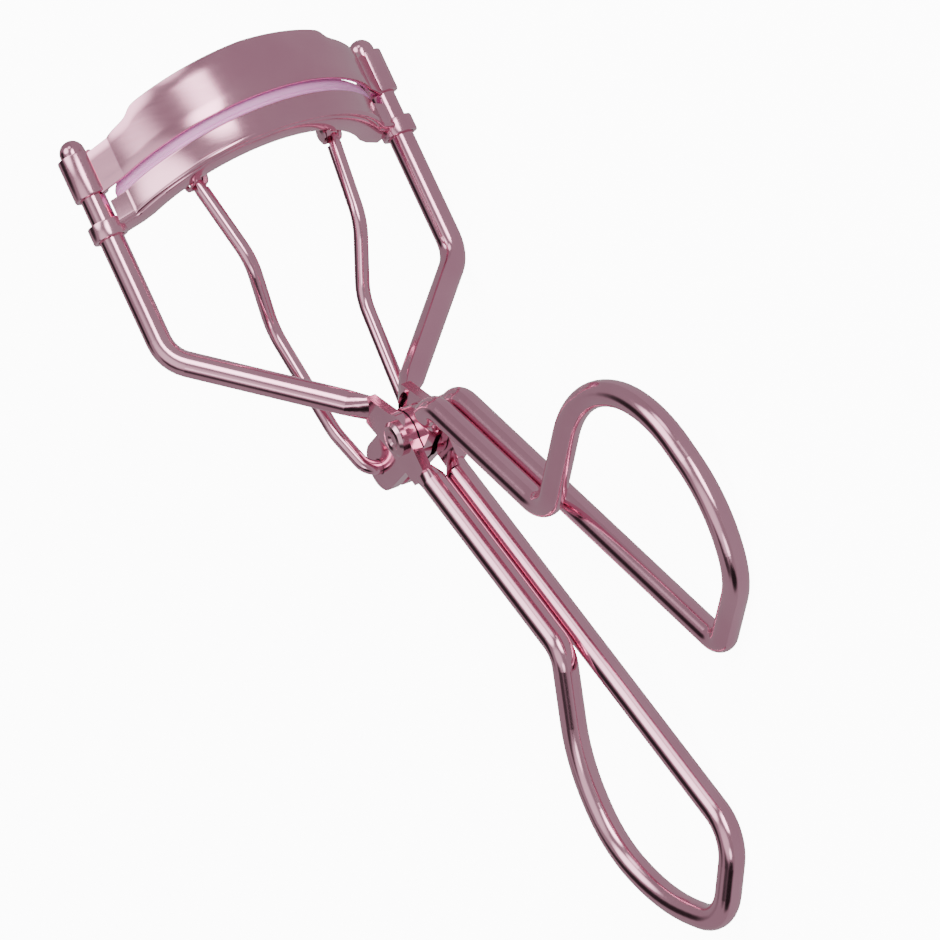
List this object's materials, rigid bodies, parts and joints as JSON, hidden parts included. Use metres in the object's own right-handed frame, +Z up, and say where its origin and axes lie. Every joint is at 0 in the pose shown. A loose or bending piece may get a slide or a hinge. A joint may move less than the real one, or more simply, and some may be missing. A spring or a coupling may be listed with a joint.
{
  "type": "eyelash curler",
  "caption": "Scissor-action eyelash curler: bent-wire frame and lever with finger loops, thin link wire, sliding curved lash bar with soft pad, and fixed curved upper plate.",
  "frame": {"origin": "centre of the bounding box on the surface it lies on, lying on its side at rest", "axes": "+X along the tool towards the head, +Y towards the eye side, +Z up"},
  "size_m": [0.108, 0.0692, 0.0419],
  "materials": {
    "plated_wire": "polished rose-gold plating on steel wire",
    "thin_wire": "polished rose-gold plating on thin steel wire",
    "plated_sheet": "polished rose-gold plating on pressed steel sheet",
    "rivet_metal": "polished rose-gold rivet",
    "soft_pad": "satin lavender-pink silicone"
  },
  "bodies": {
    "frame": {"frame_wire": "plated_wire", "upper_plate": "plated_sheet", "pivot_rivet": "rivet_metal"},
    "lever": {"lever_wire": "plated_wire"},
    "link": {"link_wire": "thin_wire", "lug_pin_left": "rivet_metal", "lug_pin_right": "rivet_metal"},
    "bar": {"lash_bar": "plated_sheet", "lash_pad": "soft_pad", "lug_left": "plated_sheet", "lug_right": "plated_sheet"}
  },
  "joints": [
    {"name": "lever_pivot", "type": "hinge", "parent": "frame", "child": "lever", "pos_m": [0.00735, 0.01977, 0.01433], "axis": [-0.1537, -0.1408, 0.978], "range_deg": [0, 36]},
    {"name": "link_pivot", "type": "hinge", "parent": "lever", "child": "link", "pos_m": [0.00695, 0.02928, 0.01563], "axis": [-0.1537, -0.1408, 0.978], "range_deg": [-33, 0]},
    {"name": "bar_slide", "type": "slide", "parent": "frame", "child": "bar", "axis": [-0.9881, 0.0219, -0.1521], "range_m": [0, 0.0055]}
  ],
  "couplings": [
    {"joint": "link_pivot", "follows": "lever_pivot", "ratio": -0.908},
    {"joint": "bar_slide", "follows": "lever_pivot", "m_per_rad": 0.00866}
  ]
}
